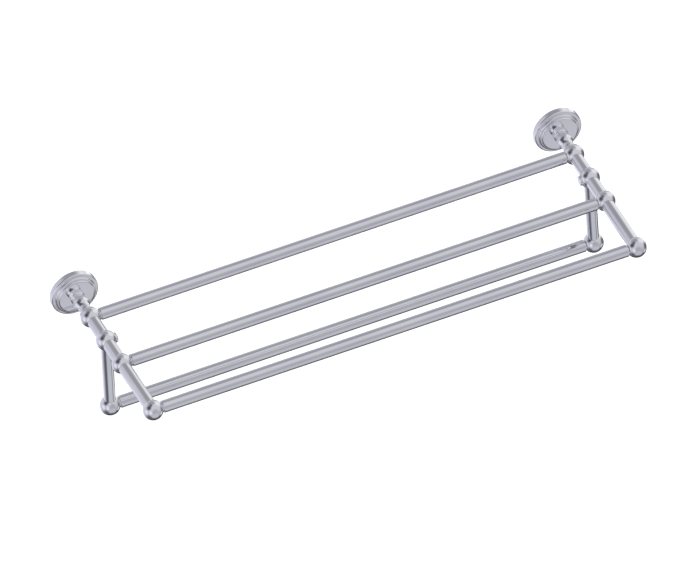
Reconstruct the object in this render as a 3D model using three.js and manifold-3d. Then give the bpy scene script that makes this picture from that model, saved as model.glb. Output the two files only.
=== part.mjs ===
// Wall-mounted towel rack: two turned arms carry three shelf bars, and a drop post below
// each arm carries a fourth bar. Millimetres, +Z up.
// The origin is the centre of the left wall plate's back face. The wall is the plane Y = 0,
// the rack stands out from it towards -Y, and the bars run along +X to the right-hand arm.

import * as THREE from 'three';
import { mergeVertices } from 'three/addons/utils/BufferGeometryUtils.js';
import Module from 'manifold-3d';

const wasm = await Module();
wasm.setup();

// ---- Driving dimensions ----

const armSpacing = 600;        // centre to centre of the two arms
const rearBarReach = 50;       // wall to the rear bar's centre-line
const barPitch = 86.5;         // rear bar to middle bar, and middle bar to front bar
const lowerBarDrop = 100;      // arm centre-line down to the lower bar's centre-line

const ballRadius = 11.8;
const armRadius = 7.6;
const postRadius = 6.7;
const barRadius = 7.15;
const tubeWall = 1.2;

const flangeRadius = 28.8;     // round cover plate against the wall
const flangeDepth = 12.4;      // wall to the cover plate's front face
const shellWall = 1.8;         // thickness of the hollow cover plate
const rimInnerRadius = 26.2;

const rodRadius = 2.95;        // M6 rod that draws an arm together
const studRadius = 2.45;       // M5 stud inside a drop post
const grubRadius = 1.5;        // M3 grub screws

const fitGap = 0.3;            // clearance between a piece and the hole it sits in
const seatGap = 0.1;           // clearance between two faces that bear on each other

const socketFloor = 7.2;       // ball centre to the floor of a tube's socket
const spigotRadius = 4;
const spigotStart = 4.5;       // ball centre to the inner end of a bar insert
const collarRadius = 5.7;      // bar insert where it shows between ball and bar
const collarStart = 9.6;       // ball centre to that collar's shoulder, inside the ball
const barEnd = 11.6;           // ball centre to the end of a bar
const insertEnd = 24;          // ball centre to the end of the insert inside the bar
const grubOffset = 7.2;        // ball centre to the grub screw, along the bar
const studSeat = rodRadius + 1.2;   // drop ball's centre to the floor of the stud's hole

const fineSides = 32;          // sides of the round pieces, by size
const tubeSides = 18;
const ballSides = 20;
const smallSides = 12;
const tinySides = 8;
const ballRings = 10;

// ---- Materials ----

function metal(color, roughness) {
  return new THREE.MeshStandardMaterial({ color, roughness, metalness: 1 });
}

const chrome = metal(0xd3d2de, 0.06);
const zincSteel = metal(0xa9adb0, 0.38);
const blackSteel = metal(0x3a3b3e, 0.45);

// ---- Solids ----

const UP = new THREE.Vector3(0, 1, 0);

function toSolid(geometry) {
  const bare = new THREE.BufferGeometry();
  bare.setAttribute('position', geometry.getAttribute('position').clone());
  if (geometry.index) bare.setIndex(geometry.index.clone());
  const merged = mergeVertices(bare, 1e-4);
  return new wasm.Manifold(new wasm.Mesh({
    numProp: 3,
    vertProperties: new Float32Array(merged.getAttribute('position').array),
    triVerts: new Uint32Array(merged.index.array),
  }));
}

function toGeometry(solid) {
  const mesh = solid.getMesh();
  const geometry = new THREE.BufferGeometry();
  geometry.setAttribute('position', new THREE.BufferAttribute(mesh.vertProperties, 3));
  geometry.setIndex(new THREE.BufferAttribute(mesh.triVerts, 1));
  geometry.computeVertexNormals();
  return geometry;
}

// A solid turned about +Y. Each profile point is [radius, height], listed up the outside.
function turned(profile, sides) {
  return new THREE.LatheGeometry(profile.map(([r, h]) => new THREE.Vector2(r, h)), sides);
}

// A ring or tube turned about +Y: the outline closes on itself away from the axis.
function turnedRing(outline, sides) {
  return turned([...outline, outline[0]], sides);
}

function tube(outer, inner, from, to, sides) {
  return turnedRing([[inner, from], [outer, from], [outer, to], [inner, to]], sides);
}

// A round cutter along a direction, between two distances from the origin.
function drill(direction, radius, from, to, sides) {
  const geometry = new THREE.CylinderGeometry(radius, radius, to - from, sides);
  geometry.translate(0, (from + to) / 2, 0);
  geometry.applyQuaternion(new THREE.Quaternion().setFromUnitVectors(UP, direction));
  return toSolid(geometry);
}

// Points on an arc, from one angle to another in degrees, around [centreR, centreH].
function arc(centreR, centreH, radius, fromDeg, toDeg, steps) {
  const points = [];
  for (let i = 0; i <= steps; i += 1) {
    const angle = THREE.MathUtils.degToRad(fromDeg + ((toDeg - fromDeg) * i) / steps);
    points.push([centreR + radius * Math.cos(angle), centreH + radius * Math.sin(angle)]);
  }
  return points;
}

// ---- Wall end: plate, cover flange, neck ----

const plateThickness = 3;
const plateFrontRadius = 25.8;
const plateBackRadius = 24.6;  // undercut edge that the set screw bites behind
const plateHoleOffset = 16;
const plateHoleRadius = 2.4;
const plateSinkRadius = 4.6;
const setScrewHeight = 2.2;    // wall to the set screw's axis
const setScrewHole = 8;        // length of its hole's cutter, centred on the rim's outside

function wallPlate() {
  const disc = turned([
    [0, 0],
    [plateBackRadius, 0],
    [plateFrontRadius, plateThickness],
    [0, plateThickness],
  ], fineSides);
  let solid = toSolid(disc);
  for (const side of [-1, 1]) {
    const cutter = turned([
      [0, -1],
      [plateHoleRadius, -1],
      [plateHoleRadius, plateThickness - (plateSinkRadius - plateHoleRadius)],
      [plateSinkRadius, plateThickness],
      [plateSinkRadius, plateThickness + 1],
      [0, plateThickness + 1],
    ], smallSides);
    cutter.translate(side * plateHoleOffset, 0, 0);
    solid = solid.subtract(toSolid(cutter));
  }
  return toGeometry(solid);
}

// Heights and radii of the cover flange's steps: rim, ledge, two rounded tiers, flat face.
const ledgeDepth = 7.8;
const rimRound = 2;
const lowerTierRadius = 24.9;
const lowerTierRound = 2.6;
const upperTierRadius = 22.2;
const upperTierDepth = 10.6;
const upperTierRound = 1.8;
const rimBackFloor = 5.6;
const innerStepRadius = 21.4;
const innerFaceInset = 2;      // how much narrower the face is inside than outside
const rimLift = 0.1;           // wall to the rim's back edge
const rimChamfer = 0.3;

function flange() {
  const faceRadius = upperTierRadius - upperTierRound;
  const shell = turnedRing([
    [rimInnerRadius, rimLift],
    [flangeRadius - rimChamfer, rimLift],
    [flangeRadius, rimLift + rimChamfer],
    ...arc(flangeRadius - rimRound, ledgeDepth - rimRound, rimRound, 0, 90, 3),
    [lowerTierRadius, ledgeDepth],
    ...arc(lowerTierRadius - lowerTierRound, upperTierDepth - lowerTierRound, lowerTierRound, 0, 90, 4),
    ...arc(faceRadius, flangeDepth - upperTierRound, upperTierRound, 0, 90, 3),
    [rodRadius + fitGap, flangeDepth],
    [rodRadius + fitGap, flangeDepth - shellWall],
    [faceRadius - innerFaceInset, flangeDepth - shellWall],
    [innerStepRadius, rimBackFloor],
    [rimInnerRadius, rimBackFloor],
  ], fineSides);
  const holeRadius = grubRadius + fitGap;
  const hole = new THREE.CylinderGeometry(holeRadius, holeRadius, setScrewHole, tinySides);
  hole.rotateX(Math.PI / 2);
  hole.translate(0, setScrewHeight, flangeRadius);
  return toGeometry(toSolid(shell).subtract(toSolid(hole)));
}

// The neck, from the wall outwards: a rounded boss, a long shallow bead that runs into a
// hollow waist, a slight swell, and a cup. Heights are from the wall.
const bossRadius = 8.9;
const bossTop = 16.8;
const bossRound = 2.4;
const beadRadius = 9.2;
const beadHeight = 24.4;
const beadCurve = 12.5;        // radius of the bead's outline
const beadStart = -31;         // degrees at which the bead leaves the boss
const beadTilt = 27;           // degrees at which the bead gives way to the waist
const waistCurve = 9.5;        // radius of the waist's outline
const swellRadius = 7;
const swellHeight = 36.9;
const swellCurve = 8;
const cupRadius = 9.2;
const cupHeight = 41.4;
const cupRound = 0.9;
const cupLip = 2;              // width of the cup's top before the ball's seat is cut
const cupStock = 3;            // height added to the cup, which the ball's seat takes away

function neck() {
  const bore = rodRadius + fitGap;
  const beadMiddle = beadRadius - beadCurve;
  const reach = beadCurve + waistCurve;
  const tilt = THREE.MathUtils.degToRad(beadTilt);
  const waistMiddle = beadMiddle + reach * Math.cos(tilt);
  const waistHeight = beadHeight + reach * Math.sin(tilt);
  const turnedNeck = turnedRing([
    [bore, flangeDepth + seatGap],
    [bossRadius, flangeDepth + seatGap],
    ...arc(bossRadius - bossRound, bossTop - bossRound, bossRound, 0, 70, 3),
    ...arc(beadMiddle, beadHeight, beadCurve, beadStart, beadTilt, 8),
    ...arc(waistMiddle, waistHeight, waistCurve, 180 + beadTilt / 2, 172, 2),
    ...arc(swellRadius - swellCurve, swellHeight, swellCurve, 0, 20, 2),
    ...arc(cupRadius - cupRound, cupHeight, cupRound, -60, 60, 3),
    [cupRadius - cupLip, cupHeight + cupStock],
    [bore, cupHeight + cupStock],
  ], tubeSides);
  const ball = new THREE.SphereGeometry(ballRadius + fitGap, ballSides, ballRings);
  ball.translate(0, rearBarReach, 0);
  return toGeometry(toSolid(turnedNeck).subtract(toSolid(ball)));
}

// ---- Balls ----

const OUT = new THREE.Vector3(0, 1, 0);       // away from the wall, in an arm's own frame
const BACK = new THREE.Vector3(0, -1, 0);
const INWARD = new THREE.Vector3(1, 0, 0);    // along the bars, towards the other arm
const RISE = new THREE.Vector3(0, 0, -1);     // upwards, in an arm's own frame
const FALL = new THREE.Vector3(0, 0, 1);

const reachOut = ballRadius + 2;              // past the ball's surface
const grubHoleStart = spigotRadius - 0.4;     // inside the spigot's hole, so that the two holes meet

function ballBlank() {
  return toSolid(new THREE.SphereGeometry(ballRadius, ballSides, ballRings));
}

function cutSocket(solid, direction, radius, floor) {
  return solid.subtract(drill(direction, radius + fitGap, floor, reachOut, tubeSides));
}

function cutBarSocket(solid) {
  const spigotHole = drill(INWARD, spigotRadius + fitGap, spigotStart - fitGap, reachOut, smallSides);
  const seat = drill(INWARD, collarRadius + fitGap, collarStart - seatGap, reachOut, smallSides);
  return solid.subtract(spigotHole).subtract(seat);
}

function cutGrubHole(solid) {
  const holeRadius = grubRadius + fitGap;
  const hole = new THREE.CylinderGeometry(holeRadius, holeRadius, ballRadius, tinySides);
  hole.rotateX(Math.PI / 2);
  hole.translate(grubOffset, 0, ballRadius / 2 + grubHoleStart);
  return solid.subtract(toSolid(hole));
}

function cutRodHole(solid, direction) {
  return solid.subtract(drill(direction, rodRadius + fitGap, -fitGap, reachOut, tinySides));
}

function rearBall() {
  let solid = cutSocket(ballBlank(), OUT, armRadius, socketFloor);
  solid = cutRodHole(cutRodHole(solid, OUT), BACK);
  return toGeometry(cutGrubHole(cutBarSocket(solid)));
}

function middleBall() {
  let solid = cutSocket(ballBlank(), OUT, armRadius, socketFloor);
  solid = cutSocket(solid, BACK, armRadius, socketFloor);
  solid = cutRodHole(cutRodHole(solid, OUT), BACK);
  return toGeometry(cutGrubHole(cutBarSocket(solid)));
}

function dropBall() {
  let solid = cutSocket(ballBlank(), OUT, armRadius, socketFloor);
  solid = cutSocket(solid, BACK, armRadius, socketFloor);
  solid = cutRodHole(cutRodHole(solid, OUT), BACK);
  solid = cutSocket(solid, FALL, postRadius, socketFloor);
  solid = cutSocket(solid, FALL, studRadius, studSeat);
  return toGeometry(cutBarSocket(solid));
}

function frontBall() {
  let solid = cutSocket(ballBlank(), BACK, armRadius, socketFloor);
  solid = cutRodHole(solid, BACK);
  return toGeometry(cutGrubHole(cutBarSocket(solid)));
}

function lowerBall() {
  let solid = cutSocket(ballBlank(), RISE, postRadius, socketFloor);
  solid = cutSocket(solid, RISE, studRadius, -fitGap);
  return toGeometry(cutGrubHole(cutBarSocket(solid)));
}

// ---- Tubes, rods and inserts ----

const tubeInset = socketFloor + fitGap;       // ball centre to a tube's end

function armTube(length) {
  return tube(armRadius, armRadius - tubeWall, tubeInset, length - tubeInset, tubeSides);
}

function dropPost() {
  const geometry = tube(postRadius, postRadius - tubeWall, tubeInset, lowerBarDrop - tubeInset, tubeSides);
  return geometry.rotateX(Math.PI / 2);
}

function postStud() {
  const top = studSeat + fitGap;
  const geometry = turned([
    [0, top],
    [studRadius, top],
    [studRadius, lowerBarDrop],
    [0, lowerBarDrop],
  ], tinySides);
  return geometry.rotateX(Math.PI / 2);
}

const rodBack = 3.8;                          // wall to the rod's threaded end
const rodChamfer = 0.6;
const frontBarReach = rearBarReach + 2 * barPitch;

function tieRod() {
  return turned([
    [0, rodBack],
    [rodRadius - rodChamfer, rodBack],
    [rodRadius, rodBack + rodChamfer],
    [rodRadius, frontBarReach],
    [0, frontBarReach],
  ], tinySides);
}

const washerRadius = 8;
const washerThickness = 1.4;
const nutThickness = 4.2;
const nutAcrossCorners = 11.5;
const washerFront = flangeDepth - shellWall - seatGap;
const nutFront = washerFront - washerThickness - seatGap;

function tieWasher() {
  return tube(washerRadius, rodRadius + fitGap, washerFront - washerThickness, washerFront, tubeSides);
}

function tieNut() {
  const body = new THREE.CylinderGeometry(nutAcrossCorners / 2, nutAcrossCorners / 2, nutThickness, 6);
  body.translate(0, nutFront - nutThickness / 2, 0);
  const hole = drill(OUT, rodRadius + fitGap, 0, flangeDepth, tinySides);
  return toGeometry(toSolid(body).subtract(hole));
}

// A turned insert: its spigot sits in the ball, its collar shows, its body plugs the bar.
function barInsert() {
  const geometry = turned([
    [0, spigotStart],
    [spigotRadius, spigotStart],
    [spigotRadius, collarStart],
    [collarRadius, collarStart],
    [collarRadius, insertEnd],
    [0, insertEnd],
  ], smallSides);
  return geometry.rotateZ(-Math.PI / 2);
}

const plugEnd = 13;                         // ball centre to the blanking plug's face
const plugRound = 1.2;

// The drop ball has no bar, so its bar socket is closed by a short plug.
function blankingPlug() {
  const geometry = turned([
    [0, spigotStart],
    [spigotRadius, spigotStart],
    [spigotRadius, collarStart],
    [collarRadius, collarStart],
    ...arc(collarRadius - plugRound, plugEnd - plugRound, plugRound, 0, 90, 2),
    [0, plugEnd],
  ], smallSides);
  return geometry.rotateZ(-Math.PI / 2);
}

const setScrewLength = 2.3;
const grubLength = 4;
const hexRadius = 0.87;                     // hexagon socket, 1.5 mm across its flats
const hexDepth = 1;

// A grub screw along +Z with a hexagon socket in its outer end.
function grubScrew(length) {
  const body = new THREE.CylinderGeometry(grubRadius, grubRadius, length, tinySides);
  body.translate(0, length / 2, 0);
  const socket = new THREE.CylinderGeometry(hexRadius, hexRadius, 2 * hexDepth, 6);
  socket.translate(0, length, 0);
  const geometry = toGeometry(toSolid(body).subtract(toSolid(socket)));
  return geometry.rotateX(Math.PI / 2);
}

const barChamfer = 0.6;

function bar() {
  const inner = barRadius - tubeWall;
  const far = armSpacing - barEnd;
  const geometry = turnedRing([
    [inner, barEnd],
    [barRadius - barChamfer, barEnd],
    [barRadius, barEnd + barChamfer],
    [barRadius, far - barChamfer],
    [barRadius - barChamfer, far],
    [inner, far],
  ], tubeSides);
  return geometry.rotateZ(-Math.PI / 2);
}

// ---- Assembly ----

const rack = new THREE.Group();

const bars = [
  { name: 'rear_bar', reach: rearBarReach, drop: 0 },
  { name: 'middle_bar', reach: rearBarReach + barPitch, drop: 0 },
  { name: 'front_bar', reach: frontBarReach, drop: 0 },
  { name: 'lower_bar', reach: rearBarReach + barPitch / 2, drop: lowerBarDrop },
];

function place(parent, name, geometry, material, x, y, z) {
  const mesh = new THREE.Mesh(geometry, material);
  mesh.name = name;
  mesh.position.set(x, y, z);
  parent.add(mesh);
}

// An arm's own frame: +Y away from the wall, +X inwards along the bars, +Z downwards.
function arm(side) {
  const group = new THREE.Group();
  const put = (name, geometry, material, x = 0, y = 0, z = 0) =>
    place(group, `${side}_${name}`, geometry, material, x, y, z);

  put('wall_plate', wallPlate(), zincSteel);
  put('flange', flange(), chrome);
  put('flange_set_screw', grubScrew(setScrewLength), blackSteel, 0, setScrewHeight, rimInnerRadius);
  put('tie_washer', tieWasher(), zincSteel);
  put('tie_nut', tieNut(), zincSteel);
  put('tie_rod', tieRod(), zincSteel);
  put('neck', neck(), chrome);

  const dropReach = rearBarReach + barPitch / 2;
  const middleReach = rearBarReach + barPitch;
  put('rear_bar_ball', rearBall(), chrome, 0, rearBarReach);
  put('drop_post_ball', dropBall(), chrome, 0, dropReach);
  put('middle_bar_ball', middleBall(), chrome, 0, middleReach);
  put('front_bar_ball', frontBall(), chrome, 0, frontBarReach);
  put('lower_bar_ball', lowerBall(), chrome, 0, dropReach, lowerBarDrop);

  put('arm_tube_rear', armTube(barPitch / 2), chrome, 0, rearBarReach);
  put('arm_tube_middle', armTube(barPitch / 2), chrome, 0, dropReach);
  put('arm_tube_front', armTube(barPitch), chrome, 0, middleReach);
  put('drop_post', dropPost(), chrome, 0, dropReach);
  put('drop_post_stud', postStud(), zincSteel, 0, dropReach);
  put('blanking_plug', blankingPlug(), chrome, 0, dropReach);

  const grubTop = spigotRadius + fitGap;
  for (const { name, reach, drop } of bars) {
    put(`${name}_insert`, barInsert(), chrome, 0, reach, drop);
    put(`${name}_grub_screw`, grubScrew(grubLength), blackSteel, grubOffset, reach, drop + grubTop);
  }
  return group;
}

// Half a turn about X stands an arm's frame out from the wall, with its +Z downwards.
const leftArm = arm('left');
leftArm.rotation.x = Math.PI;
rack.add(leftArm);

const rightArm = arm('right');
rightArm.rotation.x = Math.PI;
rightArm.scale.x = -1;
rightArm.position.x = armSpacing;
rack.add(rightArm);

for (const { name, reach, drop } of bars) {
  place(rack, name, bar(), chrome, 0, -reach, -drop);
}

export default rack;
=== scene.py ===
"""Chrome towel rack: finely turned pieces, metal finishes and a plain studio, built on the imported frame."""

import math

import bmesh
import bpy
from mathutils import Matrix, Vector


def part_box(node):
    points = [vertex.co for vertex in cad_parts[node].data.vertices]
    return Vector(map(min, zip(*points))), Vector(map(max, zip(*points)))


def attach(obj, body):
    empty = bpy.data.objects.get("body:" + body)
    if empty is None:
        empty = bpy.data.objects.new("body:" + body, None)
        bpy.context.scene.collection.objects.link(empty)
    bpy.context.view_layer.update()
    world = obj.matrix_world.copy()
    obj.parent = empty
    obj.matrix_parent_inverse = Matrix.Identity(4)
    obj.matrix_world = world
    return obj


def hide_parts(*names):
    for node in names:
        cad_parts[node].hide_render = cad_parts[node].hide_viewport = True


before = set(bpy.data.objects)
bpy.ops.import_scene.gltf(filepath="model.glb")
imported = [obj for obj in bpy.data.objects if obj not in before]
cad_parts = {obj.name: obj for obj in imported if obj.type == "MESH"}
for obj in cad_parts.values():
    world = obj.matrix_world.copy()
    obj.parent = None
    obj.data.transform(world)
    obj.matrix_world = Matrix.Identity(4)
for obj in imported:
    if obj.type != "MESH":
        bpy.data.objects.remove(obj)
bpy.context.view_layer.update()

MM = 0.001

# ---- Dimensions of the turned pieces, in millimetres ----

BALL_RADIUS = 11.8
ARM_RADIUS = 7.6
POST_RADIUS = 6.7
BAR_RADIUS = 7.15
TUBE_WALL = 1.2

SOCKET_FLOOR = 7.2          # ball centre to the floor of a tube's socket
TUBE_INSET = 7.5            # ball centre to the end of a tube
SPIGOT_RADIUS = 4.0
SPIGOT_START = 4.5          # ball centre to the inner end of a bar insert
COLLAR_RADIUS = 5.7
COLLAR_START = 9.6          # ball centre to the collar's shoulder
INSERT_END = 24.0           # ball centre to the insert's end, inside the bar
PLUG_END = 13.0             # ball centre to the blanking plug's face
GRUB_OFFSET = 7.2           # ball centre to the grub screw, along the bar
GRUB_HOLE_START = SPIGOT_RADIUS - 0.3   # ball centre down to the start of the grub screw's hole
GRUB_TOP = SPIGOT_RADIUS + 0.3          # ball centre down to the grub screw

ROD_RADIUS = 2.95
STUD_RADIUS = 2.45
STUD_SEAT = ROD_RADIUS + 1.2    # drop ball's centre to the floor of the stud's hole
GRUB_RADIUS = 1.5
REACH_OUT = 13.8            # ball centre to a point past its surface
SEAM = 0.06                 # visible clearance between two pieces that fit together
BORE_GAP = 0.3              # clearance round a rod or a stud
GRUB_GAP = 0.12             # clearance round a grub screw
SET_SCREW_GAP = 0.15        # clearance round a flange's set screw
INSERT_GAP = 0.1            # clearance behind a bar insert's spigot and behind its collar
PAST = 1.0                  # how far a screw hole's cutter runs past the plate
SHARP_ANGLE = 32            # degrees between two faces that keep a sharp edge

FLANGE_SIDES = 128          # sides of the turned pieces, by size
FINE_SIDES = 96
SMALL_SIDES = 64
HOLE_SIDES = 48
SCREW_SIDES = 32
BALL_STEPS = 56             # steps along a ball's outline

FLANGE_RADIUS = 28.8
FLANGE_DEPTH = 12.4
SHELL_WALL = 1.8
RIM_INNER = 26.2
PLATE_THICKNESS = 3.0
PLATE_FRONT_RADIUS = 25.8
PLATE_BACK_RADIUS = 24.6
PLATE_HOLE_OFFSET = 16.0
PLATE_HOLE_RADIUS = 2.4
PLATE_SINK_RADIUS = 4.6
PLATE_CHAMFER = 0.3
SET_SCREW_HEIGHT = 2.2      # wall to the set screw's axis
SET_SCREW_LENGTH = 2.3
GRUB_LENGTH = 4.0

# ---- Places, from the frame ----


def middle(node):
    """Centre of a CAD node's box."""
    low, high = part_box(node)
    return (low + high) / 2


ARM_X = {side: middle(f"{side}_wall_plate").x for side in ("left", "right")}
INWARD = {"left": Vector((1, 0, 0)), "right": Vector((-1, 0, 0))}
BARS = ("rear_bar", "middle_bar", "front_bar", "lower_bar")
OUT = Vector((0, -1, 0))
DOWN = Vector((0, 0, -1))


def bar_point(side, bar):
    """Where a bar's centre-line meets the arm, which is the centre of its ball."""
    centre = middle(bar)
    return Vector((ARM_X[side], centre.y, centre.z))


def drop_point(side):
    """Centre of the ball that the drop post hangs from."""
    return Vector((ARM_X[side], middle("lower_bar").y, middle("rear_bar").z))


def wall_point(side):
    """Where an arm's centre-line meets the wall."""
    return Vector((ARM_X[side], 0, middle("rear_bar").z))


# ---- Outlines: lists of (radius, height) in millimetres ----


def arc(centre_r, centre_h, radius, start, end, steps=6):
    """Points on an arc around (centre_r, centre_h), from one angle to another in degrees."""
    points = []
    for i in range(steps + 1):
        angle = math.radians(start + (end - start) * i / steps)
        points.append((centre_r + radius * math.cos(angle), centre_h + radius * math.sin(angle)))
    return points


HOLD_BAND = 0.12            # distance of an added point from its stretch's end
LONG_STRETCH = 8 * HOLD_BAND


def hold_edges(outline, closed):
    """Adds a point near each end of every long straight stretch, so that smooth shading stays flat on it."""
    held = []
    count = len(outline)
    for i, (r, h) in enumerate(outline):
        held.append((r, h))
        if i == count - 1 and not closed:
            break
        next_r, next_h = outline[(i + 1) % count]
        length = math.hypot(next_r - r, next_h - h)
        if length > LONG_STRETCH:
            for distance in (HOLD_BAND, length - HOLD_BAND):
                t = distance / length
                held.append((r + (next_r - r) * t, h + (next_h - h) * t))
    return held


def tube_outline(outer, inner, start, end, round_off):
    """A tube's closed outline, with its outer edges rounded."""
    return [
        (inner, start),
        *arc(outer - round_off, start + round_off, round_off, -90, 0, 3),
        *arc(outer - round_off, end - round_off, round_off, 0, 90, 3),
        (inner, end),
    ]


# ---- Meshes ----


ON_AXIS = 1e-6              # a point no further than this from the axis lies on it


def turned(name, outline, origin, axis, sides=FINE_SIDES):
    """A mesh turned about an axis through origin. An outline that starts off the axis closes on itself."""
    closed = outline[0][0] > 0
    outline = hold_edges(outline, closed)
    axis = axis.normalized()
    across = axis.orthogonal().normalized()
    other = axis.cross(across)
    work = bmesh.new()
    rings = []
    for radius, height in outline:
        base = origin + axis * height * MM
        if radius < ON_AXIS:
            rings.append([work.verts.new(base)])
            continue
        ring = []
        for i in range(sides):
            angle = 2 * math.pi * i / sides
            spoke = across * math.cos(angle) + other * math.sin(angle)
            ring.append(work.verts.new(base + spoke * radius * MM))
        rings.append(ring)
    pairs = list(zip(rings, rings[1:]))
    if closed:
        pairs.append((rings[-1], rings[0]))
    for lower, upper in pairs:
        for i in range(sides):
            j = (i + 1) % sides
            if len(lower) == 1:
                work.faces.new((lower[0], upper[j], upper[i]))
            elif len(upper) == 1:
                work.faces.new((lower[i], lower[j], upper[0]))
            else:
                work.faces.new((lower[i], lower[j], upper[j], upper[i]))
    bmesh.ops.recalc_face_normals(work, faces=work.faces)
    mesh = bpy.data.meshes.new(name)
    work.to_mesh(mesh)
    work.free()
    piece = bpy.data.objects.new(name, mesh)
    bpy.context.scene.collection.objects.link(piece)
    return piece


def drill(radius, start, end, origin, axis, sides=HOLE_SIDES):
    """A round cutter, to be taken away from a piece."""
    outline = [(0, start), (radius, start), (radius, end), (0, end)]
    return turned("cutter", outline, origin, axis, sides)


def cut(piece, *cutters):
    """Takes the cutters away from the piece and deletes them."""
    for cutter in cutters:
        modifier = piece.modifiers.new("cut", "BOOLEAN")
        modifier.operation = "DIFFERENCE"
        modifier.solver = "EXACT"
        modifier.object = cutter
    bpy.context.view_layer.update()
    result = bpy.data.meshes.new_from_object(piece.evaluated_get(bpy.context.evaluated_depsgraph_get()))
    piece.modifiers.clear()
    piece.data = result
    for cutter in cutters:
        bpy.data.objects.remove(cutter)


def settle(piece, material, slot, *nodes):
    """Smooths a finished piece, gives it its material, and puts it in the frame in place of its CAD nodes."""
    piece.data.shade_smooth()
    piece.data.set_sharp_from_angle(angle=math.radians(SHARP_ANGLE))
    piece.data.materials.clear()
    piece.data.materials.append(material)
    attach(piece, "root")
    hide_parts(*nodes)


# ---- Materials ----


def new_material(name):
    """A new material, its node tree and its shader."""
    material = bpy.data.materials.new(name)
    material.use_nodes = True
    tree = material.node_tree
    return material, tree, tree.nodes["Principled BSDF"]


def noise(tree, scale, detail=2.0, roughness=0.5):
    """3-D noise, with its scale in steps to the metre."""
    place = tree.nodes.new("ShaderNodeTexCoord")
    texture = tree.nodes.new("ShaderNodeTexNoise")
    texture.inputs["Scale"].default_value = scale
    texture.inputs["Detail"].default_value = detail
    texture.inputs["Roughness"].default_value = roughness
    tree.links.new(place.outputs["Object"], texture.inputs["Vector"])
    return texture.outputs["Fac"]


def spread(tree, value, low, high, start=0.3, end=0.7):
    """Maps a noise value on to a range of numbers."""
    node = tree.nodes.new("ShaderNodeMapRange")
    node.inputs["From Min"].default_value = start
    node.inputs["From Max"].default_value = end
    node.inputs["To Min"].default_value = low
    node.inputs["To Max"].default_value = high
    tree.links.new(value, node.inputs["Value"])
    return node.outputs["Result"]


def blend_colours(tree, value, first, second):
    """Drifts from one colour to the other with a noise value."""
    ramp = tree.nodes.new("ShaderNodeValToRGB")
    ramp.color_ramp.elements[0].position = 0.35
    ramp.color_ramp.elements[0].color = (*first, 1)
    ramp.color_ramp.elements[1].position = 0.65
    ramp.color_ramp.elements[1].color = (*second, 1)
    tree.links.new(value, ramp.inputs["Fac"])
    return ramp.outputs["Color"]


def relief(tree, shader, value, strength, distance):
    """Raises and lowers the surface's shading with a noise value. The distance is in metres."""
    bump = tree.nodes.new("ShaderNodeBump")
    bump.inputs["Strength"].default_value = strength
    bump.inputs["Distance"].default_value = distance
    tree.links.new(value, bump.inputs["Height"])
    tree.links.new(bump.outputs["Normal"], shader.inputs["Normal"])


def chrome_material():
    """Polished chrome plate: a cool tint that drifts a little, and the faint ripple of hand polishing."""
    material, tree, shader = new_material("polished_chrome")
    shader.inputs["Metallic"].default_value = 1.0
    tint = blend_colours(tree, noise(tree, scale=18, detail=3), (0.88, 0.88, 0.90), (0.93, 0.93, 0.94))
    tree.links.new(tint, shader.inputs["Base Color"])
    wear = noise(tree, scale=140, detail=4, roughness=0.6)
    tree.links.new(spread(tree, wear, low=0.03, high=0.065), shader.inputs["Roughness"])
    relief(tree, shader, noise(tree, scale=90, detail=2), strength=0.04, distance=0.0003)
    return material


def zinc_material():
    """Bright zinc plate: pale, with a fine crystalline bloom and a satin finish."""
    material, tree, shader = new_material("zinc_plated_steel")
    shader.inputs["Metallic"].default_value = 1.0
    tint = blend_colours(tree, noise(tree, scale=160, detail=4), (0.56, 0.575, 0.60), (0.70, 0.70, 0.68))
    tree.links.new(tint, shader.inputs["Base Color"])
    bloom = noise(tree, scale=420, detail=3)
    tree.links.new(spread(tree, bloom, low=0.3, high=0.48), shader.inputs["Roughness"])
    relief(tree, shader, noise(tree, scale=900, detail=4), strength=0.25, distance=0.0002)
    return material


def black_steel_material():
    """Black oxide on steel: near black, worn a little greyer in patches."""
    material, tree, shader = new_material("black_steel")
    shader.inputs["Metallic"].default_value = 0.9
    tint = blend_colours(tree, noise(tree, scale=500, detail=4), (0.035, 0.036, 0.04), (0.13, 0.128, 0.125))
    tree.links.new(tint, shader.inputs["Base Color"])
    grain = noise(tree, scale=800, detail=3)
    tree.links.new(spread(tree, grain, low=0.32, high=0.5), shader.inputs["Roughness"])
    relief(tree, shader, noise(tree, scale=1500, detail=3), strength=0.2, distance=0.0001)
    return material


CHROME = chrome_material()
ZINC = zinc_material()
BLACK = black_steel_material()

# ---- The wall end ----

LEDGE_DEPTH = 7.8
RIM_ROUND = 2.0
LOWER_TIER_RADIUS = 24.9
LOWER_TIER_ROUND = 2.6
UPPER_TIER_RADIUS = 22.2
UPPER_TIER_DEPTH = 10.6
UPPER_TIER_ROUND = 1.8
RIM_BACK_FLOOR = 5.6
RIM_LIFT = 0.1              # wall to the rim's back edge
RIM_EDGE = 0.3              # rounding of that edge
INNER_STEP_RADIUS = 21.4
INNER_FACE_INSET = 2.0      # how much narrower the face is inside than outside
SET_SCREW_INSIDE = 4.0      # how far the set screw's hole is cut past the rim, inside it
SET_SCREW_OUTSIDE = 2.0     # the same, outside it
TIER_CORNER = 0.25          # rounding where the ledge meets the lower tier

BOSS_RADIUS = 8.9
BOSS_TOP = 16.8
BOSS_ROUND = 2.4
BEAD_RADIUS = 9.2
BEAD_HEIGHT = 24.4
BEAD_CURVE = 12.5           # radius of the bead's outline
BEAD_START = -31            # degrees at which the bead leaves the boss
BEAD_TILT = 27.0            # degrees at which the bead gives way to the waist
WAIST_CURVE = 9.5           # radius of the waist's outline
SWELL_RADIUS = 7.0
SWELL_HEIGHT = 36.9
SWELL_CURVE = 8.0
CUP_RADIUS = 9.2
CUP_HEIGHT = 41.4
CUP_ROUND = 0.9


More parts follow.
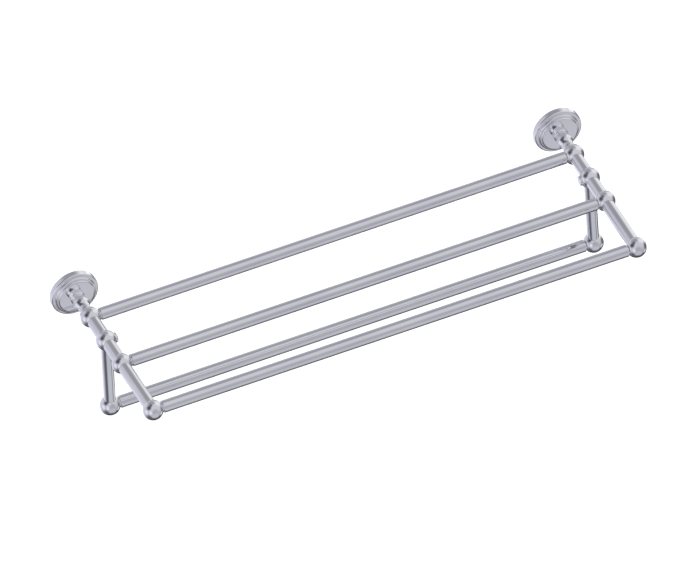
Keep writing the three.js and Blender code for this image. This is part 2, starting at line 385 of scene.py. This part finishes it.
def flange_outline():
    """A plain rim, a ledge, two rounded tiers and a flat mirror face, hollow behind."""
    face_radius = UPPER_TIER_RADIUS - UPPER_TIER_ROUND
    lower_middle = LOWER_TIER_RADIUS - LOWER_TIER_ROUND
    inner_depth = FLANGE_DEPTH - SHELL_WALL
    bore = ROD_RADIUS + BORE_GAP
    corner = TIER_CORNER
    return [
        (RIM_INNER, RIM_LIFT),
        *arc(FLANGE_RADIUS - RIM_EDGE, RIM_LIFT + RIM_EDGE, RIM_EDGE, -90, 0, 3),
        *arc(FLANGE_RADIUS - RIM_ROUND, LEDGE_DEPTH - RIM_ROUND, RIM_ROUND, 0, 90, 12),
        *arc(LOWER_TIER_RADIUS + corner, LEDGE_DEPTH + corner, corner, 270, 190, 3),
        *arc(lower_middle, UPPER_TIER_DEPTH - LOWER_TIER_ROUND, LOWER_TIER_ROUND, 8, 88, 14),
        *arc(face_radius, FLANGE_DEPTH - UPPER_TIER_ROUND, UPPER_TIER_ROUND, 6, 90, 12),
        (bore, FLANGE_DEPTH),
        (bore, inner_depth),
        (face_radius - INNER_FACE_INSET, inner_depth),
        (INNER_STEP_RADIUS, RIM_BACK_FLOOR),
        (RIM_INNER, RIM_BACK_FLOOR),
    ]


SEAT_STEPS = 8
SEAT_LIP = 0.05             # how far from the bore the ball's seat stops


def ball_seat(reach, lip_radius, bore_radius):
    """The hollow in the neck's end, which follows the first ball down to the bore."""
    radius = BALL_RADIUS + SEAM
    lip = math.asin(lip_radius / radius)
    floor_angle = math.asin((bore_radius + SEAT_LIP) / radius)
    points = []
    for i in range(SEAT_STEPS + 1):
        angle = lip + (floor_angle - lip) * i / SEAT_STEPS
        points.append((radius * math.sin(angle), reach - radius * math.cos(angle)))
    return points


def neck_outline():
    """A boss, a long shallow bead that runs into a hollow waist, a slight swell, and a cup for a ball."""
    ball_reach = -middle("rear_bar").y / MM
    bore = ROD_RADIUS + BORE_GAP
    bead_middle = BEAD_RADIUS - BEAD_CURVE
    tilt = math.radians(BEAD_TILT)
    waist_middle = bead_middle + (BEAD_CURVE + WAIST_CURVE) * math.cos(tilt)
    waist_height = BEAD_HEIGHT + (BEAD_CURVE + WAIST_CURVE) * math.sin(tilt)
    return [
        (bore, FLANGE_DEPTH + SEAM),
        (BOSS_RADIUS, FLANGE_DEPTH + SEAM),
        *arc(BOSS_RADIUS - BOSS_ROUND, BOSS_TOP - BOSS_ROUND, BOSS_ROUND, 0, 72, 12),
        *arc(bead_middle, BEAD_HEIGHT, BEAD_CURVE, BEAD_START, BEAD_TILT, 30),
        *arc(waist_middle, waist_height, WAIST_CURVE, 180 + BEAD_TILT - 2, 173, 16),
        *arc(SWELL_RADIUS - SWELL_CURVE, SWELL_HEIGHT, SWELL_CURVE, -7, 20, 14),
        *arc(CUP_RADIUS - CUP_ROUND, CUP_HEIGHT, CUP_ROUND, -60, 60, 8),
        *ball_seat(ball_reach, CUP_RADIUS - CUP_ROUND, bore),
    ]


def wall_plate(side):
    """The plate behind a flange, with an undercut edge and two countersunk screw holes."""
    node = f"{side}_wall_plate"
    outline = [
        (0, 0),
        (PLATE_BACK_RADIUS, 0),
        (PLATE_FRONT_RADIUS, PLATE_THICKNESS - PLATE_CHAMFER),
        (PLATE_FRONT_RADIUS - PLATE_CHAMFER, PLATE_THICKNESS),
        (0, PLATE_THICKNESS),
    ]
    piece = turned(f"{node}_fine", outline, wall_point(side), OUT)
    sink = PLATE_THICKNESS - (PLATE_SINK_RADIUS - PLATE_HOLE_RADIUS)
    hole = [
        (0, -PAST),
        (PLATE_HOLE_RADIUS, -PAST),
        (PLATE_HOLE_RADIUS, sink),
        (PLATE_SINK_RADIUS, PLATE_THICKNESS),
        (PLATE_SINK_RADIUS, PLATE_THICKNESS + PAST),
        (0, PLATE_THICKNESS + PAST),
    ]
    cutters = []
    for sign in (-1, 1):
        centre = wall_point(side) + Vector((sign * PLATE_HOLE_OFFSET * MM, 0, 0))
        cutters.append(turned("cutter", hole, centre, OUT, HOLE_SIDES))
    cut(piece, *cutters)
    settle(piece, ZINC, "zinc_plated_steel", node)


def flange(side):
    """The cover against the wall, with the set screw's hole under its rim."""
    node = f"{side}_flange"
    piece = turned(f"{node}_fine", flange_outline(), wall_point(side), OUT, FLANGE_SIDES)
    hole_centre = wall_point(side) + OUT * SET_SCREW_HEIGHT * MM
    hole_start = RIM_INNER - SET_SCREW_INSIDE
    hole_end = FLANGE_RADIUS + SET_SCREW_OUTSIDE
    cut(piece, drill(GRUB_RADIUS + SET_SCREW_GAP, hole_start, hole_end, hole_centre, DOWN, SCREW_SIDES))
    settle(piece, CHROME, "polished_chrome", node)


def neck(side):
    """The turned piece between a flange and the first ball."""
    node = f"{side}_neck"
    piece = turned(f"{node}_fine", neck_outline(), wall_point(side), OUT)
    settle(piece, CHROME, "polished_chrome", node)


# ---- Balls ----


MOUTH_EDGE = (0.15, 0.12)   # width and depth of the bevel at a socket's mouth
BLIND_END = 0.3             # how far an end ball's bore runs past its centre


def ball_outline(socket_radius, bore_radius, through):
    """Half a ball's section about its tubes' axis: a socket behind, and one in front if the tube runs on."""
    mouth = socket_radius + SEAM
    edge_width, edge_depth = MOUTH_EDGE
    lip = math.acos((mouth + edge_width) / BALL_RADIUS)
    lip_height = BALL_RADIUS * math.sin(lip) - edge_depth
    socket = [(bore_radius, SOCKET_FLOOR), (mouth, SOCKET_FLOOR), (mouth, lip_height)]
    behind = [(r, -h) for r, h in socket]
    lip = math.degrees(lip)
    if through:
        return [*behind, *arc(0, 0, BALL_RADIUS, -lip, lip, BALL_STEPS), *reversed(socket)]
    return [(0, BLIND_END), (bore_radius, BLIND_END), *behind, *arc(0, 0, BALL_RADIUS, -lip, 90, BALL_STEPS)]


def ball(side, name, centre, axis, socket_radius, bore_radius, through=True, grub=True, extra=()):
    """A ball turned about its tubes' axis, then drilled for its bar and its grub screw."""
    node = f"{side}_{name}"
    outline = ball_outline(socket_radius, bore_radius, through)
    piece = turned(f"{node}_fine", outline, centre, axis)
    inward = INWARD[side]
    cutters = [
        drill(SPIGOT_RADIUS + SEAM, SPIGOT_START - INSERT_GAP, REACH_OUT, centre, inward),
        drill(COLLAR_RADIUS + SEAM, COLLAR_START - INSERT_GAP, REACH_OUT, centre, inward, SMALL_SIDES),
        *extra,
    ]
    if grub:
        grub_centre = centre + inward * GRUB_OFFSET * MM
        hole_radius = GRUB_RADIUS + GRUB_GAP
        cutters.append(drill(hole_radius, GRUB_HOLE_START, REACH_OUT, grub_centre, DOWN, SCREW_SIDES))
    cut(piece, *cutters)
    settle(piece, CHROME, "polished_chrome", node)


def balls(side):
    """An arm's four balls, and the one at the foot of its drop post."""
    rod_bore = ROD_RADIUS + BORE_GAP
    stud_bore = STUD_RADIUS + BORE_GAP
    rear = bar_point(side, "rear_bar")
    centre = bar_point(side, "middle_bar")
    front = bar_point(side, "front_bar")
    lower = bar_point(side, "lower_bar")
    drop = drop_point(side)
    post_socket = (
        drill(POST_RADIUS + SEAM, SOCKET_FLOOR, REACH_OUT, drop, DOWN, SMALL_SIDES),
        drill(stud_bore, STUD_SEAT, REACH_OUT, drop, DOWN, SCREW_SIDES),
    )
    ball(side, "rear_bar_ball", rear, OUT, ARM_RADIUS, rod_bore)
    ball(side, "drop_post_ball", drop, OUT, ARM_RADIUS, rod_bore, grub=False, extra=post_socket)
    ball(side, "middle_bar_ball", centre, OUT, ARM_RADIUS, rod_bore)
    ball(side, "front_bar_ball", front, OUT, ARM_RADIUS, rod_bore, through=False)
    ball(side, "lower_bar_ball", lower, DOWN, POST_RADIUS, stud_bore, through=False)


# ---- Tubes, inserts and plugs ----


TUBE_ROUND = 0.3            # rounding of each piece's end
BAR_ROUND = 0.4
INSERT_ROUND = 0.4
PLUG_ROUND = 1.2


def tube_between(node, start, end, radius):
    """A thin tube from ball centre to ball centre, stopping in their sockets."""
    axis = end - start
    length = axis.length / MM
    outline = tube_outline(radius, radius - TUBE_WALL, TUBE_INSET, length - TUBE_INSET, TUBE_ROUND)
    piece = turned(f"{node}_fine", outline, start, axis)
    settle(piece, CHROME, "polished_chrome", node)


def arm(side):
    """An arm's three tubes and its drop post."""
    rear = bar_point(side, "rear_bar")
    drop = drop_point(side)
    centre = bar_point(side, "middle_bar")
    front = bar_point(side, "front_bar")
    tube_between(f"{side}_arm_tube_rear", rear, drop, ARM_RADIUS)
    tube_between(f"{side}_arm_tube_middle", drop, centre, ARM_RADIUS)
    tube_between(f"{side}_arm_tube_front", centre, front, ARM_RADIUS)
    tube_between(f"{side}_drop_post", drop, bar_point(side, "lower_bar"), POST_RADIUS)


def insert_outline(end, round_off):
    """A spigot, a collar that shows beside the ball, and a rounded end."""
    return [
        (0, SPIGOT_START),
        (SPIGOT_RADIUS, SPIGOT_START),
        (SPIGOT_RADIUS, COLLAR_START),
        (COLLAR_RADIUS, COLLAR_START),
        *arc(COLLAR_RADIUS - round_off, end - round_off, round_off, 0, 90, 6),
        (0, end),
    ]


def inserts(side):
    """The collars that hold the bars' ends, and the plug in the ball that holds no bar."""
    for bar in BARS:
        node = f"{side}_{bar}_insert"
        outline = insert_outline(INSERT_END, INSERT_ROUND)
        piece = turned(f"{node}_fine", outline, bar_point(side, bar), INWARD[side], SMALL_SIDES)
        settle(piece, CHROME, "polished_chrome", node)
    node = f"{side}_blanking_plug"
    outline = insert_outline(PLUG_END, PLUG_ROUND)
    piece = turned(f"{node}_fine", outline, drop_point(side), INWARD[side], SMALL_SIDES)
    settle(piece, CHROME, "polished_chrome", node)


def bars():
    """The four long tubes, with rounded ends."""
    for node in BARS:
        low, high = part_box(node)
        start = Vector((low.x, middle(node).y, middle(node).z))
        length = (high.x - low.x) / MM
        outline = tube_outline(BAR_RADIUS, BAR_RADIUS - TUBE_WALL, 0, length, BAR_ROUND)
        piece = turned(f"{node}_fine", outline, start, Vector((1, 0, 0)))
        settle(piece, CHROME, "polished_chrome", node)


# ---- Screws ----


TIP_CHAMFER = 0.3
HEAD_CHAMFER = 0.25
HEX_RADIUS = 0.87           # hexagon socket, 1.5 mm across its flats
HEX_DEPTH = 1.0


def grub_screw(node, origin, length):
    """A grub screw pointing down, with a chamfered rim and a hexagon socket."""
    outline = [
        (0, 0),
        (GRUB_RADIUS - TIP_CHAMFER, 0),
        (GRUB_RADIUS, TIP_CHAMFER),
        (GRUB_RADIUS, length - HEAD_CHAMFER),
        (GRUB_RADIUS - HEAD_CHAMFER, length),
        (0, length),
    ]
    piece = turned(f"{node}_fine", outline, origin, DOWN, SCREW_SIDES)
    cut(piece, drill(HEX_RADIUS, length - HEX_DEPTH, length + HEX_DEPTH, origin, DOWN, sides=6))
    settle(piece, BLACK, "black_steel", node)


def screws(side):
    """The flange's set screw, and a grub screw under each ball that holds a bar."""
    set_screw = wall_point(side) + OUT * SET_SCREW_HEIGHT * MM + DOWN * RIM_INNER * MM
    grub_screw(f"{side}_flange_set_screw", set_screw, SET_SCREW_LENGTH)
    for bar in BARS:
        place = bar_point(side, bar) + INWARD[side] * GRUB_OFFSET * MM + DOWN * GRUB_TOP * MM
        grub_screw(f"{side}_{bar}_grub_screw", place, GRUB_LENGTH)


def hidden_steel(side):
    """The rods, nuts and washers inside keep their CAD meshes, in zinc plate."""
    for name in ("tie_rod", "tie_nut", "tie_washer", "drop_post_stud"):
        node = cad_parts[f"{side}_{name}"]
        node.data.materials.clear()
        node.data.materials.append(ZINC)


# ---- Studio ----

VIEW_WIDTH = 0.7926         # metres across the picture
VIEW_AZIMUTH = -21.8        # degrees, the camera to the left of straight in front
VIEW_ELEVATION = 42.8
VIEW_ROLL = -3.4
VIEW_DISTANCE = 2.0         # metres, and so are the next two
VIEW_DEPTH = 20
VIEW_CENTRE = (0.2967, -0.1032, -0.0304)

FLOOR_HEIGHT = -1.15        # metres
FLOOR_HALF = 6.0
SUN_STRENGTH = 2.4
SUN_SPREAD = 40             # degrees


def direction(azimuth, elevation):
    """Azimuth 0 is the front, -Y, and 90 is the right-hand end, +X. Both in degrees."""
    a = math.radians(azimuth)
    e = math.radians(elevation)
    return Vector((math.sin(a) * math.cos(e), -math.cos(a) * math.cos(e), math.sin(e)))


def camera():
    """A long view from the front left, so parallel that it is made as a true parallel projection."""
    data = bpy.data.cameras.new("camera")
    data.type = "ORTHO"
    data.ortho_scale = VIEW_WIDTH
    data.clip_end = VIEW_DEPTH
    back = direction(VIEW_AZIMUTH, VIEW_ELEVATION)
    turn = (-back).to_track_quat("-Z", "Y").to_matrix().to_4x4()
    roll = Matrix.Rotation(math.radians(VIEW_ROLL), 4, "Z")
    made = bpy.data.objects.new("camera", data)
    made.matrix_world = Matrix.Translation(Vector(VIEW_CENTRE) + back * VIEW_DISTANCE) @ turn @ roll
    bpy.context.scene.collection.objects.link(made)
    bpy.context.scene.camera = made


def floor():
    """A plain pale floor, well below the rack, which hangs on a wall. The chrome doesn't mirror it."""
    half = FLOOR_HALF
    mesh = bpy.data.meshes.new("floor")
    corners = [(x, y, FLOOR_HEIGHT) for x, y in ((-half, -half), (half, -half), (half, half), (-half, half))]
    mesh.from_pydata(corners, [], [(0, 1, 2, 3)])
    made = bpy.data.objects.new("floor", mesh)
    bpy.context.scene.collection.objects.link(made)
    material, tree, shader = new_material("pale_floor")
    shader.inputs["Base Color"].default_value = (0.96, 0.96, 0.96, 1)
    shader.inputs["Roughness"].default_value = 1.0
    shader.inputs["Specular IOR Level"].default_value = 0.0
    mesh.materials.append(material)
    made.visible_glossy = False


# A colour mix node's two colours and its result.
COLOUR_A = 6
COLOUR_B = 7
COLOUR_RESULT = 2

# The studio's panels, laid one over another: name, azimuth, elevation, half-width of the flat middle,
# width of the soft edge (all in degrees), brightness, and how far the colour leans to blue.
PANELS = (
    ("overhead", 10, 77, 50, 62, 0.64, 0.03),
    ("right_window", 122, 28, 2, 39, 0.84, 0.01),
    ("left_wall", -157, -15, 3, 48, 0.71, 0.065),
    ("left_low_wall", -160, -42, 8, 24, 0.80, 0.05),
    ("left_window", -98, -8, 2, 28, 0.86, 0.05),
    ("front_strip", -45, 4, 0, 28, 0.87, 0.05),
    ("front_haze", 2, 10, 3, 47, 0.43, 0.035),
    ("front_low", 0, -38, 12, 37, 0.56, 0.035),
    ("back_top", 175, 47, 9, 31, 0.34, 0.04),
    ("left_flag", -98, 46, 1, 34, 0.08, 0.07),
    ("left_flag_top", -130, 66, 3, 22, 0.15, 0.06),
    ("floor_shade", 0, -90, 4, 40, 0.09, 0.05),
    ("low_flag", -67, -50, 0, 28, 0.12, 0.08),
    ("right_flag", 94, -16, 1, 30, 0.16, 0.03),
    ("right_low_flag", 66, -54, 0, 22, 0.14, 0.03),
    ("right_deep_flag", 98, -56, 8, 20, 0.08, 0.03),
    ("right_back_flag", 124, -42, 7, 20, 0.06, 0.03),
    ("right_low_window", 78, -36, 2, 14, 0.80, 0.02),
    ("right_back_window", 130, -10, 0, 17, 1.05, 0.01),
    ("back_low_shade", 178, -71, 6, 22, 0.05, 0.04),
)
ROOM = (0.42, 0.035)        # brightness and blue lean where no panel reaches


def tinted(brightness, lean):
    """A grey that leans to blue."""
    return (brightness * (1 - lean), brightness * (1 - lean), brightness * (1 + 2 * lean), 1)


def panel_amount(tree, place, azimuth, elevation, core, edge):
    """How much of a panel is seen in each direction, from 0 to 1 with a smooth edge."""
    facing = tree.nodes.new("ShaderNodeVectorMath")
    facing.operation = "DOT_PRODUCT"
    facing.inputs[1].default_value = direction(azimuth, elevation)
    tree.links.new(place.outputs["Generated"], facing.inputs[0])
    amount = tree.nodes.new("ShaderNodeMapRange")
    amount.interpolation_type = "SMOOTHSTEP"
    amount.inputs["From Min"].default_value = math.cos(math.radians(core + edge))
    amount.inputs["From Max"].default_value = math.cos(math.radians(core))
    tree.links.new(facing.outputs["Value"], amount.inputs["Value"])
    return amount.outputs["Result"]


def studio():
    """Soft panels of light and shade all round, with a white backdrop that only the camera sees."""
    world = bpy.data.worlds.new("studio")
    world.use_nodes = True
    tree = world.node_tree
    tree.nodes.clear()
    place = tree.nodes.new("ShaderNodeTexCoord")
    room = tree.nodes.new("ShaderNodeRGB")
    room.outputs[0].default_value = tinted(*ROOM)
    colour = room.outputs[0]
    for name, azimuth, elevation, core, edge, brightness, lean in PANELS:
        mix = tree.nodes.new("ShaderNodeMix")
        mix.name = name
        mix.data_type = "RGBA"
        tree.links.new(panel_amount(tree, place, azimuth, elevation, core, edge), mix.inputs["Factor"])
        tree.links.new(colour, mix.inputs[COLOUR_A])
        mix.inputs[COLOUR_B].default_value = tinted(brightness, lean)
        colour = mix.outputs[COLOUR_RESULT]
    light = tree.nodes.new("ShaderNodeBackground")
    tree.links.new(colour, light.inputs["Color"])
    backdrop = tree.nodes.new("ShaderNodeBackground")
    backdrop.inputs["Color"].default_value = (1, 1, 1, 1)
    seen = tree.nodes.new("ShaderNodeLightPath")
    choose = tree.nodes.new("ShaderNodeMixShader")
    tree.links.new(seen.outputs["Is Camera Ray"], choose.inputs[0])
    tree.links.new(light.outputs[0], choose.inputs[1])
    tree.links.new(backdrop.outputs[0], choose.inputs[2])
    output = tree.nodes.new("ShaderNodeOutputWorld")
    tree.links.new(choose.outputs[0], output.inputs["Surface"])
    bpy.context.scene.world = world


def floor_light():
    """A broad overhead light that only brightens the floor and matt surfaces."""
    data = bpy.data.lights.new("overhead", "SUN")
    data.energy = SUN_STRENGTH
    data.angle = math.radians(SUN_SPREAD)
    made = bpy.data.objects.new("overhead", data)
    made.visible_glossy = False
    bpy.context.scene.collection.objects.link(made)


# ---- Build ----

camera()
studio()
floor()
floor_light()
bpy.context.scene.view_settings.view_transform = "Standard"

for side in ("left", "right"):
    wall_plate(side)
    flange(side)
    neck(side)
    balls(side)
    arm(side)
    inserts(side)
    screws(side)
    hidden_steel(side)
bars()
